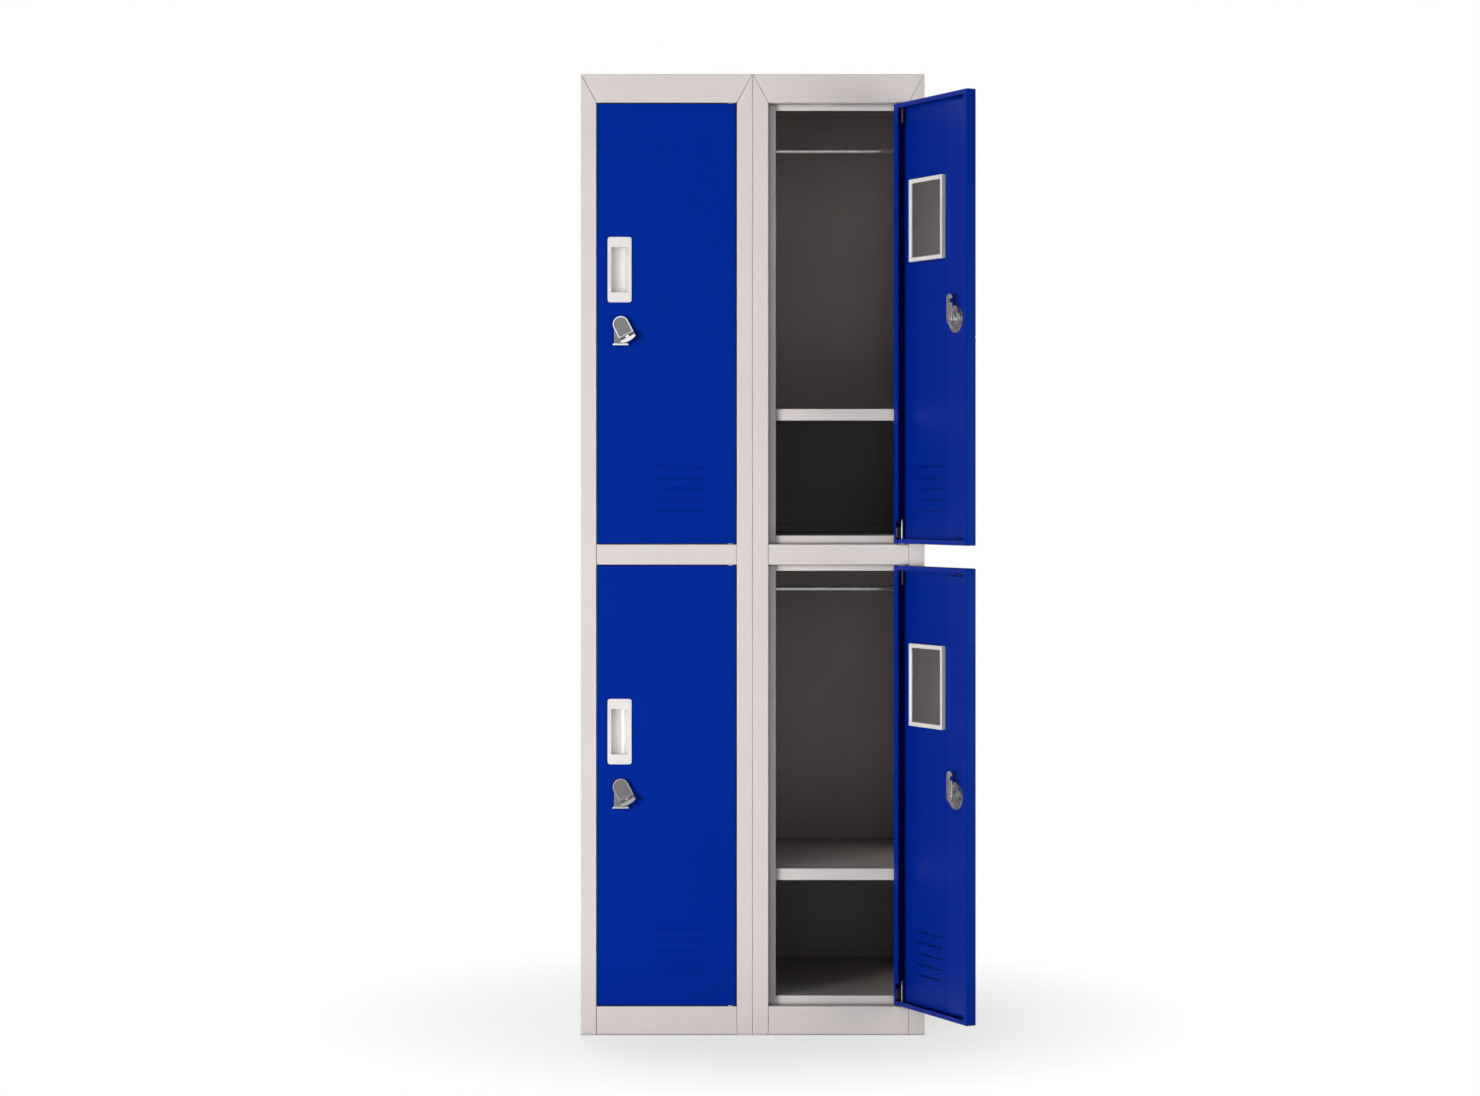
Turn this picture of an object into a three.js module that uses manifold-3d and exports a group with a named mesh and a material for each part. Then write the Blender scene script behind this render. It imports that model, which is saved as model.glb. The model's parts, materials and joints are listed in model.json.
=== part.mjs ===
// A school locker: two steel cabinets joined side by side, each with an upper and a lower
// compartment behind a hinged door. Millimetres, +Z up. The front faces -Y, the floor is z = 0, and
// the origin is the centre of the footprint, on the joint between the two cabinets.
import * as THREE from "three";
import { mergeVertices } from "three/addons/utils/BufferGeometryUtils.js";
import Module from "manifold-3d";

const wasm = await Module();
wasm.setup();

// Driving dimensions of the cabinet.
const HEIGHT = 1800;
const DEPTH = 500;
const BAY_WIDTH = 322;
const SHEET = 1;
const BEND_RADIUS = 1; // of the sheet's middle line
const GAP = 0.4; // between welded sheets
const FIT_GAP = 0.3; // between a fitting and what it is fixed to
const FRONT = -DEPTH / 2;
const REAR = DEPTH / 2;

// The front frame: the stiles stand beside the openings, the rails lie above and below them.
const STILE_WIDTH = 29.5;
const BASE_RAIL_HEIGHT = 54;
const MIDDLE_RAIL_HEIGHT = 38;
const OPENING_HEIGHT = 827;
const OPENING_WIDTH = BAY_WIDTH - 2 * STILE_WIDTH;
const FRAME_DEPTH = 24.5; // from the front to the stop lips
const SIDE_LIP = 14;
const TOP_LIP = 12;
const SILL_RISE = 16; // from a rail's top to the compartment floor behind it
const HEADER_LAP = 4; // of the header's underside behind its face
const FLANGE = 20;
const WELD_FLANGE = 15;
const TIERS = {
  lower: BASE_RAIL_HEIGHT,
  upper: BASE_RAIL_HEIGHT + OPENING_HEIGHT + MIDDLE_RAIL_HEIGHT,
};
const HEADER_BOTTOM = TIERS.upper + OPENING_HEIGHT;

// Fittings in each compartment; heights count from the bottom of the opening.
const SHELF_TOP = 254.5;
const SHELF_FLANGE = 22;
const SHELF_HEM = 9;
const SHELF_SETBACK = 28;
const RAIL_HEIGHT = 771.7;
const RAIL_Y = 70;
const RAIL_RADIUS = 6.5;
const RAIL_BORE = 5.3;

// The door; a place on it counts from its free edge and from the bottom of the opening.
const DOOR_DEPTH = 20;
const DOOR_GAP = { hinge: 2, free: 1.5, ends: 1.5 };
const DOOR_WIDTH = OPENING_WIDTH - DOOR_GAP.hinge - DOOR_GAP.free;
const DOOR_HEIGHT = OPENING_HEIGHT - 2 * DOOR_GAP.ends;
const DOOR_LIP = { hinge: 17, free: 12, ends: 9 };
const PIVOT = { fromEdge: 10, fromFront: 7 };
const STIFFENER = { width: 60, depth: 15, foot: 8, fromFreeEdge: 11, endGap: 16 };
const WELD = 0.2; // overlap that joins welded sheets into one body
const BRACKET = { fromTop: 30, fromBottom: 40, width: 16 };
const DOOR_OPEN = 117.5;

const LOUVRE = {
  count: 5,
  pitch: 20,
  width: 88,
  rise: 9,
  proud: 2.6,
  crown: 2.2, // of the hood left above its slot
  brim: 0.8,
  sill: 1.2, // of skin left behind the hood's lower edge, so that nothing shows through
  fromFree: 156,
  middle: 107,
};

const HANDLE = { width: 45, height: 122.6, fromFree: 42, middle: 514.5, lip: 2, corner: 5 };
const POCKET = { width: 32, height: 85, depth: 11.6, wall: 1.2, corner: 4 };

const MIRROR = { width: 119, height: 154, fromHinge: 37, middle: 604, depth: 8, face: 8, glass: 2 };

// The lock: a fixed base, and a lever that turns a cam behind the door.
const LOCK = { fromFree: 44.5, middle: 412 };
const TONGUE_RADIUS = 14.9;
const BASE = { thickness: 3, radius: 12.5, earFrom: 36.3, earTo: 40.3, earWidth: 30, earProud: 19 };
const LEVER = { thickness: 6, earFrom: 28.5, reach: 35.4, earProud: 19, rim: 1.2, face: 22 };
const BARREL_RADIUS = 8.5;
const BARREL_END = STIFFENER.depth + 4;
const BORE_RADIUS = 4.5;
const SPINDLE_SIZE = 6;
const SHACKLE_RADIUS = 4;
const SHACKLE_FROM_DOOR = 14.2;
const BACK_PLATE = { radius: 25, thickness: 1.5 };
const CAM = { from: 27, thickness: 2.5, length: 46, width: 20, notchFrom: 29, notchTo: 37, notch: 9 };
const SCREW = { radius: 5, thickness: 2.5 };
const LEVER_LEAN = -27; // of the closed doors' levers, clockwise positive seen from the front

const PIN_RADIUS = 2.5;
const PIN_HOLE = 3;
const PIN_TIP = 6;
const TOP_PIN_LENGTH = 36;
const BOTTOM_PIN_LENGTH = 46;
const COLLAR = { radius: 5.5, thickness: 0.8 };
const PIN_TAB = { from: 11, height: 20, thickness: 1.5, reach: 12.5 };
const PIN_TRAVEL = 7;
const TAB_NOTCH = { below: 3, above: 4, side: 2 }; // room round the tab in the hinge lip

const CURVE = 12; // straight sides of a small circle
const WIDE_CURVE = 20; // of a larger one
const SCOOP_CURVE = 28; // of the handle's scoop and the lock's back plate
const MATERIALS = {
  carcass: { color: 0xdcd3cf, roughness: 0.45, metalness: 0.1 },
  door: { color: 0x00268c, roughness: 0.4, metalness: 0.1 },
  plastic: { color: 0xe8e8e6, roughness: 0.35, metalness: 0 },
  mirror: { color: 0xaab2b0, roughness: 0.05, metalness: 1 },
  chrome: { color: 0xc8c8c8, roughness: 0.15, metalness: 1 },
  steel: { color: 0x9a9a98, roughness: 0.35, metalness: 1 },
};

// ---- solids ----

function solidOf(geometry) {
  const bare = geometry.clone();
  bare.deleteAttribute("normal");
  bare.deleteAttribute("uv");
  const merged = mergeVertices(bare, 1e-4);
  return new wasm.Manifold(
    new wasm.Mesh({
      numProp: 3,
      vertProperties: new Float32Array(merged.attributes.position.array),
      triVerts: new Uint32Array(merged.index.array),
    }),
  );
}

function geometryOf(solid) {
  const mesh = solid.asOriginal().getMesh();
  const geometry = new THREE.BufferGeometry();
  geometry.setAttribute("position", new THREE.BufferAttribute(mesh.vertProperties, 3));
  geometry.setIndex(new THREE.BufferAttribute(mesh.triVerts, 1));
  return geometry;
}

function join(...geometries) {
  return geometryOf(geometries.map(solidOf).reduce((all, next) => all.add(next)));
}

function cut(geometry, ...tools) {
  return geometryOf(tools.map(solidOf).reduce((rest, tool) => rest.subtract(tool), solidOf(geometry)));
}

// ---- shapes ----

// A box given by its low and high corners.
function boxBetween([x0, y0, z0], [x1, y1, z1]) {
  return new THREE.BoxGeometry(x1 - x0, y1 - y0, z1 - z0).translate(
    (x0 + x1) / 2,
    (y0 + y1) / 2,
    (z0 + z1) / 2,
  );
}

function extrude(shape, depth) {
  return new THREE.ExtrudeGeometry(shape, { depth, bevelEnabled: false, curveSegments: CURVE / 4 });
}

// A shape drawn in X and Y, standing from z0 up to z1.
function standing(shape, z0, z1) {
  return extrude(shape, z1 - z0).translate(0, 0, z0);
}

// A shape drawn in Y and Z, running along X from x0 to x1.
function crosswise(shape, x0, x1) {
  const turn = new THREE.Matrix4().makeBasis(
    new THREE.Vector3(0, 1, 0),
    new THREE.Vector3(0, 0, 1),
    new THREE.Vector3(1, 0, 0),
  );
  return extrude(shape, x1 - x0).applyMatrix4(turn).translate(x0, 0, 0);
}

// A shape drawn in X and Z as seen from the front, filling y0 to y1.
function facing(shape, y0, y1) {
  return extrude(shape, y1 - y0).rotateX(Math.PI / 2).translate(0, y1, 0);
}

// A cylinder about the upright line at x and y.
function uprightCylinder(radius, x, y, z0, z1, sides = CURVE) {
  return new THREE.CylinderGeometry(radius, radius, z1 - z0, sides)
    .rotateX(Math.PI / 2)
    .translate(x, y, (z0 + z1) / 2);
}

// A cylinder about the line at x and z that runs from front to back.
function facingCylinder(radius, x, z, y0, y1, sides = CURVE) {
  return new THREE.CylinderGeometry(radius, radius, y1 - y0, sides).translate(x, (y0 + y1) / 2, z);
}

function polygon(points) {
  return new THREE.Shape(points.map(([a, b]) => new THREE.Vector2(a, b)));
}

// The middle line of a folded sheet as points with their normals: each corner becomes an arc.
function foldedLine(corners, radius) {
  const steps = 2;
  const points = corners.map(([a, b]) => new THREE.Vector2(a, b));
  const line = [];
  points.forEach((point, i) => {
    const before = points[i - 1] ?? point;
    const after = points[i + 1] ?? point;
    const into = point.clone().sub(before).normalize();
    const out = after.clone().sub(point).normalize();
    const turn = into.cross(out);
    if (i === 0 || i === points.length - 1) {
      const along = i === 0 ? out : into;
      line.push({ point, normal: new THREE.Vector2(-along.y, along.x) });
      return;
    }
    const side = Math.sign(turn);
    const bend = Math.acos(into.dot(out));
    const start = point.clone().addScaledVector(into, -radius * Math.tan(bend / 2));
    const inward = new THREE.Vector2(-into.y, into.x).multiplyScalar(side);
    const centre = start.clone().addScaledVector(inward, radius);
    for (let k = 0; k <= steps; k += 1) {
      const spoke = start.clone().rotateAround(centre, (side * bend * k) / steps).sub(centre);
      const normal = spoke.clone().normalize().multiplyScalar(-side);
      line.push({ point: centre.clone().add(spoke), normal });
    }
  });
  return line;
}

// The section of a folded sheet, from the corners of its middle line.
function foldedSheet(corners, sheet = SHEET, radius = BEND_RADIUS) {
  const line = foldedLine(corners, radius);
  const side = (offset) => line.map(({ point, normal }) => point.clone().addScaledVector(normal, offset));
  return new THREE.Shape([...side(sheet / 2).reverse(), ...side(-sheet / 2)]);
}

function roundedRectangle(width, height, radius) {
  const x = width / 2 - radius;
  const z = height / 2 - radius;
  const shape = new THREE.Shape();
  shape.absarc(x, z, radius, 0, Math.PI / 2);
  shape.absarc(-x, z, radius, Math.PI / 2, Math.PI);
  shape.absarc(-x, -z, radius, Math.PI, 1.5 * Math.PI);
  shape.absarc(x, -z, radius, 1.5 * Math.PI, 2 * Math.PI);
  return shape;
}

// ---- the cabinet, in a frame whose x = 0 is the middle of the bay ----

const HALF_BAY = BAY_WIDTH / 2;
const HALF_OPENING = OPENING_WIDTH / 2;
const MIDDLE = SHEET / 2;
const LIP_Y = FRONT + FRAME_DEPTH + MIDDLE;
const RETURN_END = LIP_Y - MIDDLE - GAP;
const BACK_Y = REAR - SHEET - GAP - MIDDLE;
const DECK_END = BACK_Y - SHEET - GAP;
const PANEL_HALF = HALF_BAY - SHEET - GAP;
const BETWEEN_LIPS = HALF_OPENING - SIDE_LIP - GAP;
const PIVOT_X = HALF_OPENING - DOOR_GAP.hinge - PIVOT.fromEdge;
const PIVOT_Y = FRONT + PIVOT.fromFront;

// The mitre line's height at x. It runs from the opening's corner up to the bay's outer top corner,
// and on past it.
function mitreHeight(x) {
  return HEADER_BOTTOM + ((x - HALF_OPENING) * (HEIGHT - HEADER_BOTTOM)) / STILE_WIDTH;
}

// The side with its front stile: rear flange, wall, stile face, return and stop lip. Side is -1 or 1.
function sidePanel(side) {
  const section = foldedSheet(
    [
      [HALF_BAY - FLANGE, REAR - MIDDLE],
      [HALF_BAY - MIDDLE, REAR - MIDDLE],
      [HALF_BAY - MIDDLE, FRONT + MIDDLE],
      [HALF_OPENING + MIDDLE, FRONT + MIDDLE],
      [HALF_OPENING + MIDDLE, LIP_Y],
      [HALF_OPENING - SIDE_LIP, LIP_Y],
    ].map(([x, y]) => [side * x, y]),
  );
  const footEdges = [side * (HALF_BAY - WELD), side * (HALF_BAY - FLANGE)].sort((a, b) => a - b);
  const foot = boxBetween([footEdges[0], FRONT + FLANGE, 0], [footEdges[1], REAR - WELD, SHEET]);
  const beyond = HALF_BAY + 1;
  const lipEdge = HALF_OPENING - SIDE_LIP - 1;
  const headerRoom = polygon(
    [
      [beyond, mitreHeight(beyond)],
      [HALF_OPENING, HEADER_BOTTOM - GAP],
      [lipEdge, HEADER_BOTTOM - GAP],
      [lipEdge, mitreHeight(beyond)],
    ].map(([x, z]) => [side * x, z]),
  );
  return cut(join(standing(section, 0, HEIGHT), foot), facing(headerRoom, FRONT - 1, LIP_Y + 1));
}

function backPanel() {
  return boxBetween(
    [-PANEL_HALF, BACK_Y - MIDDLE, SHEET + GAP],
    [PANEL_HALF, BACK_Y + MIDDLE, HEIGHT - SHEET - GAP],
  );
}

// The stop lip between the side lips, from one height to the other, with the strip that joins it to
// the rail's return whose underside is at z.
function stopLip(bottom, top, z) {
  const x = BETWEEN_LIPS;
  return join(
    boxBetween([-x, LIP_Y - MIDDLE, bottom], [x, LIP_Y + MIDDLE, top]),
    boxBetween([-x, RETURN_END - SHEET, z], [x, LIP_Y, z + SHEET]),
  );
}

function pivotHole(z) {
  const reach = 2 * SHEET;
  return uprightCylinder(PIN_HOLE, PIVOT_X, PIVOT_Y, z - reach, z + reach);
}

// A compartment floor, its upturned weld flange at the back and its sill down to the rail.
function deck(floor, railTop) {
  const half = PANEL_HALF;
  const section = foldedSheet([
    [LIP_Y + SHEET + GAP, floor - MIDDLE],
    [DECK_END - MIDDLE, floor - MIDDLE],
    [DECK_END - MIDDLE, floor + WELD_FLANGE],
  ]);
  const plate = crosswise(section, -half, half);
  const sill = stopLip(railTop - SHEET, floor, railTop - SHEET);
  const bridge = boxBetween(
    [-BETWEEN_LIPS, LIP_Y - MIDDLE, floor - SHEET],
    [BETWEEN_LIPS, LIP_Y + SHEET + GAP + 1, floor],
  );
  return join(plate, sill, bridge);
}

function topPanel() {
  const width = HALF_OPENING - 2 * GAP;
  const beyond = HALF_BAY + 1;
  const face = polygon([
    [-beyond + 2 * GAP, mitreHeight(beyond)],
    [-width, HEADER_BOTTOM],
    [width, HEADER_BOTTOM],
    [beyond - 2 * GAP, mitreHeight(beyond)],
  ]);
  const roof = foldedSheet([
    [FRONT + MIDDLE, HEADER_BOTTOM + BEND_RADIUS],
    [FRONT + MIDDLE, HEIGHT - MIDDLE],
    [DECK_END - MIDDLE, HEIGHT - MIDDLE],
    [DECK_END - MIDDLE, HEIGHT - FLANGE],
  ]);
  const wide = solidOf(crosswise(roof, -HALF_BAY, HALF_BAY)).intersect(
    solidOf(
      join(
        facing(face, FRONT - 1, FRONT + SHEET + BEND_RADIUS),
        boxBetween([-PANEL_HALF, FRONT + SHEET, HEIGHT - FLANGE - 1], [PANEL_HALF, REAR, HEIGHT + 1]),
      ),
    ),
  );
  const underside = foldedSheet([
    [RETURN_END, HEADER_BOTTOM + MIDDLE],
    [FRONT + MIDDLE, HEADER_BOTTOM + MIDDLE],
    [FRONT + MIDDLE, HEADER_BOTTOM + HEADER_LAP],
  ]);
  const panel = join(
    geometryOf(wide),
    crosswise(underside, -width, width),
    stopLip(HEADER_BOTTOM - TOP_LIP, HEADER_BOTTOM + SHEET, HEADER_BOTTOM),
  );
  return cut(panel, pivotHole(HEADER_BOTTOM));
}

function middleDeck() {
  const bottom = TIERS.lower + OPENING_HEIGHT;
  const top = TIERS.upper;
  const width = HALF_OPENING - GAP;
  const section = foldedSheet([
    [RETURN_END, bottom + MIDDLE],
    [FRONT + MIDDLE, bottom + MIDDLE],
    [FRONT + MIDDLE, top - MIDDLE],
    [RETURN_END, top - MIDDLE],
  ]);
  const rail = crosswise(section, -width, width);
  const lip = stopLip(bottom - TOP_LIP, bottom + SHEET, bottom);
  const whole = join(rail, lip, deck(top + SILL_RISE, top));
  return cut(whole, pivotHole(bottom), pivotHole(top));
}

function basePan() {
  const top = TIERS.lower;
  const width = HALF_OPENING - GAP;
  const section = foldedSheet([
    [FRONT + FLANGE - GAP, MIDDLE],
    [FRONT + MIDDLE, MIDDLE],
    [FRONT + MIDDLE, top - MIDDLE],
    [RETURN_END, top - MIDDLE],
  ]);
  return cut(join(crosswise(section, -width, width), deck(top + SILL_RISE, top)), pivotHole(top));
}

// A shelf with its front edge folded down and hemmed, and flanges down at the back and sides.
function shelf(opening) {
  const top = opening + SHELF_TOP;
  const front = FRONT + SHELF_SETBACK + MIDDLE;
  const half = PANEL_HALF - GAP;
  const rear = DECK_END - SHEET;
  const section = foldedSheet([
    [front + SHELF_HEM, top - SHELF_FLANGE + MIDDLE],
    [front, top - SHELF_FLANGE + MIDDLE],
    [front, top - MIDDLE],
    [rear, top - MIDDLE],
    [rear, top - WELD_FLANGE],
  ]);
  const ends = [-1, 1].map((side) => {
    const edges = [side * half, side * (half - SHEET)].sort((a, b) => a - b);
    return boxBetween(
      [edges[0], front + SHELF_HEM + 2 * SHEET, top - WELD_FLANGE],
      [edges[1], rear + MIDDLE, top - MIDDLE],
    );
  });
  return join(crosswise(section, -half, half), ...ends);
}

function hangingRail(opening) {
  const half = PANEL_HALF - GAP;
  const outer = new THREE.CylinderGeometry(RAIL_RADIUS, RAIL_RADIUS, 2 * half, WIDE_CURVE);
  const bore = new THREE.CylinderGeometry(RAIL_BORE, RAIL_BORE, 2 * half + 2, WIDE_CURVE);
  return cut(outer, bore).rotateZ(Math.PI / 2).translate(0, RAIL_Y, opening + RAIL_HEIGHT);
}

// ---- the door, in a frame at its pivot at the bottom of the opening; the free edge is at -X ----

const HINGE_EDGE = PIVOT.fromEdge;
const FREE_EDGE = HINGE_EDGE - DOOR_WIDTH;
const DOOR_FRONT = -PIVOT.fromFront;
const SKIN = DOOR_FRONT + MIDDLE;
const DOOR_REAR = DOOR_FRONT + DOOR_DEPTH;
const DOOR_BOTTOM = DOOR_GAP.ends;
const DOOR_TOP = DOOR_BOTTOM + DOOR_HEIGHT;

// The pan's skin with its edges folded back and in again, as two crossing folded sheets.
function doorPan() {
  const lip = DOOR_REAR - MIDDLE;
  const acrossWidth = foldedSheet([
    [FREE_EDGE + DOOR_LIP.free, lip],
    [FREE_EDGE + MIDDLE, lip],
    [FREE_EDGE + MIDDLE, SKIN],
    [HINGE_EDGE - MIDDLE, SKIN],
    [HINGE_EDGE - MIDDLE, lip],
    [HINGE_EDGE - DOOR_LIP.hinge, lip],
  ]);
  const acrossHeight = foldedSheet([
    [lip, DOOR_BOTTOM + DOOR_LIP.ends],
    [lip, DOOR_BOTTOM + MIDDLE],
    [SKIN, DOOR_BOTTOM + MIDDLE],
    [SKIN, DOOR_TOP - MIDDLE],
    [lip, DOOR_TOP - MIDDLE],
    [lip, DOOR_TOP - DOOR_LIP.ends],
  ]);
  const corner = BEND_RADIUS + MIDDLE;
  return join(
    standing(acrossWidth, DOOR_BOTTOM + corner, DOOR_TOP - corner),
    crosswise(acrossHeight, FREE_EDGE + corner, HINGE_EDGE - corner),
  );
}

// The hat-section stiffener behind the handle and the lock.
function stiffener() {
  const near = FREE_EDGE + STIFFENER.fromFreeEdge;
  const far = near + STIFFENER.width;
  const foot = SKIN + SHEET - WELD;
  const crown = DOOR_FRONT + STIFFENER.depth - MIDDLE;
  const section = foldedSheet([
    [near - STIFFENER.foot, foot],
    [near, foot],
    [near, crown],
    [far, crown],
    [far, foot],
    [far + STIFFENER.foot, foot],
  ]);
  return standing(section, DOOR_BOTTOM + STIFFENER.endGap, DOOR_TOP - STIFFENER.endGap);
}

// The plate inside the pan that guides a hinge pin.
function pinBracket(z) {
  const inside = SKIN + MIDDLE - WELD;
  return boxBetween(
    [HINGE_EDGE - BRACKET.width, inside, z],
    [HINGE_EDGE - SHEET + WELD, DOOR_REAR - SHEET + WELD, z + SHEET],
  );
}

function louvres() {
  const x = FREE_EDGE + LOUVRE.fromFree;
  const half = LOUVRE.width / 2;
  const hoods = [];
  const slots = [];
  for (let i = 0; i < LOUVRE.count; i += 1) {
    const z = LOUVRE.middle + (i - (LOUVRE.count - 1) / 2) * LOUVRE.pitch;
    const top = z + LOUVRE.rise / 2;
    const bottom = z - LOUVRE.rise / 2;
    const proud = DOOR_FRONT - LOUVRE.proud;
    const inside = DOOR_FRONT + SHEET - WELD;
    const hood = polygon([[inside, top], [inside, bottom], [proud, bottom], [proud, bottom + 1]]);
    const hollow = polygon([
      [inside + 1, top - LOUVRE.crown],
      [inside + 1, bottom + LOUVRE.sill],
      [DOOR_FRONT, bottom + LOUVRE.sill],
      [DOOR_FRONT, bottom - 1],
      [proud + SHEET, bottom - 1],
      [proud + SHEET, bottom + LOUVRE.brim],
    ]);
    hoods.push(crosswise(hood, x - half, x + half));
    slots.push(crosswise(hollow, x - half + SHEET, x + half - SHEET));
  }
  return { hoods, slots };
}

function door() {
  const { hoods, slots } = louvres();
  const margin = POCKET.wall + FIT_GAP;
  const handleHole = facing(
    roundedRectangle(POCKET.width + 2 * margin, POCKET.height + 2 * margin, POCKET.corner + FIT_GAP),
    DOOR_FRONT - SHEET,
    DOOR_FRONT + 2 * SHEET,
  ).translate(FREE_EDGE + HANDLE.fromFree, 0, HANDLE.middle);
  const lockX = FREE_EDGE + LOCK.fromFree;
  const tabNotch = boxBetween(
    [-DOOR_LIP.hinge, DOOR_REAR - 2 * SHEET, DOOR_BOTTOM + PIN_TAB.from - TAB_NOTCH.below],
    [
      TAB_NOTCH.side,
      DOOR_REAR + SHEET,
      DOOR_BOTTOM + PIN_TAB.from + PIN_TAB.height + PIN_TRAVEL + TAB_NOTCH.above,
    ],
  );
  const body = join(
    doorPan(),
    stiffener(),
    pinBracket(DOOR_TOP - BRACKET.fromTop),
    pinBracket(DOOR_BOTTOM + BRACKET.fromBottom),
    ...hoods,
  );
  return cut(
    body,
    ...slots,
    handleHole,
    tabNotch,
    facingCylinder(BARREL_RADIUS + GAP, lockX, LOCK.middle, DOOR_FRONT - 1, DOOR_REAR, WIDE_CURVE),
    uprightCylinder(PIN_HOLE, 0, 0, DOOR_BOTTOM - 1, DOOR_BOTTOM + BRACKET.fromBottom + 2 * SHEET),
    uprightCylinder(PIN_HOLE, 0, 0, DOOR_TOP - BRACKET.fromTop - 1, DOOR_TOP + 1),
  );
}

// ---- fittings on the door, each in a frame at its own middle, y = 0 on the door's front ----

// The handle: a flat border round a pocket with a scooped back.
function handle() {
  const border = facing(roundedRectangle(HANDLE.width, HANDLE.height, HANDLE.corner), -HANDLE.lip, -FIT_GAP);
  const wall = POCKET.wall;
  const shell = roundedRectangle(POCKET.width + 2 * wall, POCKET.height + 2 * wall, POCKET.corner);
  const body = facing(shell, -HANDLE.lip / 2, POCKET.depth + wall);
  const radius = (POCKET.width ** 2 / 4 + POCKET.depth ** 2) / (2 * POCKET.depth);
  const scoop = uprightCylinder(
    radius,
    0,
    POCKET.depth - radius,
    -POCKET.height / 2,
    POCKET.height / 2,
    SCOOP_CURVE,
  );
  const mouth = facing(
    roundedRectangle(POCKET.width, POCKET.height, POCKET.corner - wall),
    -HANDLE.lip - 1,
    POCKET.depth,
  );
  const hollow = geometryOf(solidOf(scoop).intersect(solidOf(mouth)));
  return cut(join(border, body), hollow);
}

function mirrorFrame() {
  const { width, height, depth, face, glass } = MIRROR;
  const outer = boxBetween([-width / 2, 0, -height / 2], [width / 2, depth, height / 2]);
  const window = boxBetween(
    [face - width / 2, 1, face - height / 2],
    [width / 2 - face, depth + 1, height / 2 - face],
  );
  const seat = boxBetween(
    [face / 2 - width / 2, -1, face / 2 - height / 2],
    [width / 2 - face / 2, glass + GAP, height / 2 - face / 2],
  );
  return cut(outer, window, seat);
}

function mirrorGlass() {
  const { width, height, face, glass } = MIRROR;
  const x = width / 2 - face / 2 - GAP;
  const z = height / 2 - face / 2 - GAP;
  return boxBetween([-x, 0, -z], [x, glass, z]);
}

// A tongue as seen from the front: round about the axis above, straight sides below.
function tongue(radius, bottom, endRadius) {
  const shape = new THREE.Shape();
  shape.absarc(0, 0, radius, 0, Math.PI);
  if (endRadius) {
    const spread = Math.asin(radius / endRadius);
    shape.absarc(0, 0, endRadius, 1.5 * Math.PI - spread, 1.5 * Math.PI + spread);
  } else {
    shape.lineTo(-radius, -bottom);
    shape.lineTo(radius, -bottom);
  }
  return shape;
}

function shackleHole(from, to) {
  return uprightCylinder(SHACKLE_RADIUS, 0, -SHACKLE_FROM_DOOR, -to - 1, -from + 1, WIDE_CURVE);
}

function lockBase() {
  const rear = -FIT_GAP;
  const front = rear - BASE.thickness;
  const plate = facing(tongue(BASE.radius, BASE.earTo - 1), front, rear);
  const ear = facing(
    roundedRectangle(BASE.earWidth, BASE.earTo - BASE.earFrom, 1.5),
    -BASE.earProud,
    rear,
  ).translate(0, 0, -(BASE.earFrom + BASE.earTo) / 2);
  const barrel = facingCylinder(BARREL_RADIUS, 0, 0, rear - 1, BARREL_END, WIDE_CURVE);
  const bore = facingCylinder(BORE_RADIUS, 0, 0, front - 1, BARREL_END + 1);
  return cut(join(plate, ear, barrel), bore, shackleHole(BASE.earFrom, BASE.earTo));
}

function lockLever() {
  const rear = -BASE.thickness - 2 * FIT_GAP;
  const front = rear - LEVER.thickness;
  const body = facing(tongue(TONGUE_RADIUS, 0, LEVER.reach), front, rear);
  const inset = TONGUE_RADIUS - LEVER.rim;
  const recess = facing(tongue(inset, LEVER.face), front - 1, front + LEVER.rim);
  const earRoom = facing(tongue(TONGUE_RADIUS, 0, LEVER.reach), -LEVER.earProud, front + 1);
  const clear = 2 * LEVER.reach;
  const above = boxBetween([-clear, -LEVER.earProud - 1, -LEVER.earFrom], [clear, rear, clear]);
  const screwFrom = CAM.from + CAM.thickness + FIT_GAP;
  const spindle = boxBetween(
    [-SPINDLE_SIZE / 2, rear - 1, -SPINDLE_SIZE / 2],
    [SPINDLE_SIZE / 2, screwFrom + WELD, SPINDLE_SIZE / 2],
  );
  const screw = facingCylinder(SCREW.radius, 0, 0, screwFrom, screwFrom + SCREW.thickness);
  const tongueBody = cut(join(body, cut(earRoom, above)), recess, shackleHole(LEVER.earFrom, LEVER.reach));
  return join(tongueBody, spindle, screw);
}

function lockPlate() {
  const from = STIFFENER.depth + FIT_GAP;
  const to = from + BACK_PLATE.thickness;
  const disc = facingCylinder(BACK_PLATE.radius, 0, 0, from, to, SCOOP_CURVE);
  return cut(disc, facingCylinder(BARREL_RADIUS + GAP, 0, 0, from - 1, to + 1, WIDE_CURVE));
}

// The cam points up in its own frame; its notch faces the door's free edge.
function lockCam() {
  const half = CAM.width / 2;
  const shape = new THREE.Shape();
  shape.absarc(0, 0, half, Math.PI, 2 * Math.PI);
  shape.lineTo(half, CAM.length - half);
  shape.absarc(0, CAM.length - half, half, 0, Math.PI);
  const plate = facing(shape, CAM.from, CAM.from + CAM.thickness);
  const notch = boxBetween(
    [-half - 1, CAM.from - 1, CAM.notchFrom],
    [-half + CAM.notch, CAM.from + CAM.thickness + 1, CAM.notchTo],
  );
  const square = SPINDLE_SIZE / 2 + FIT_GAP;
  const hole = boxBetween(
    [-square, CAM.from - 1, -square],
    [square, CAM.from + CAM.thickness + 1, square],
  );
  return cut(plate, notch, hole);
}

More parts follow.
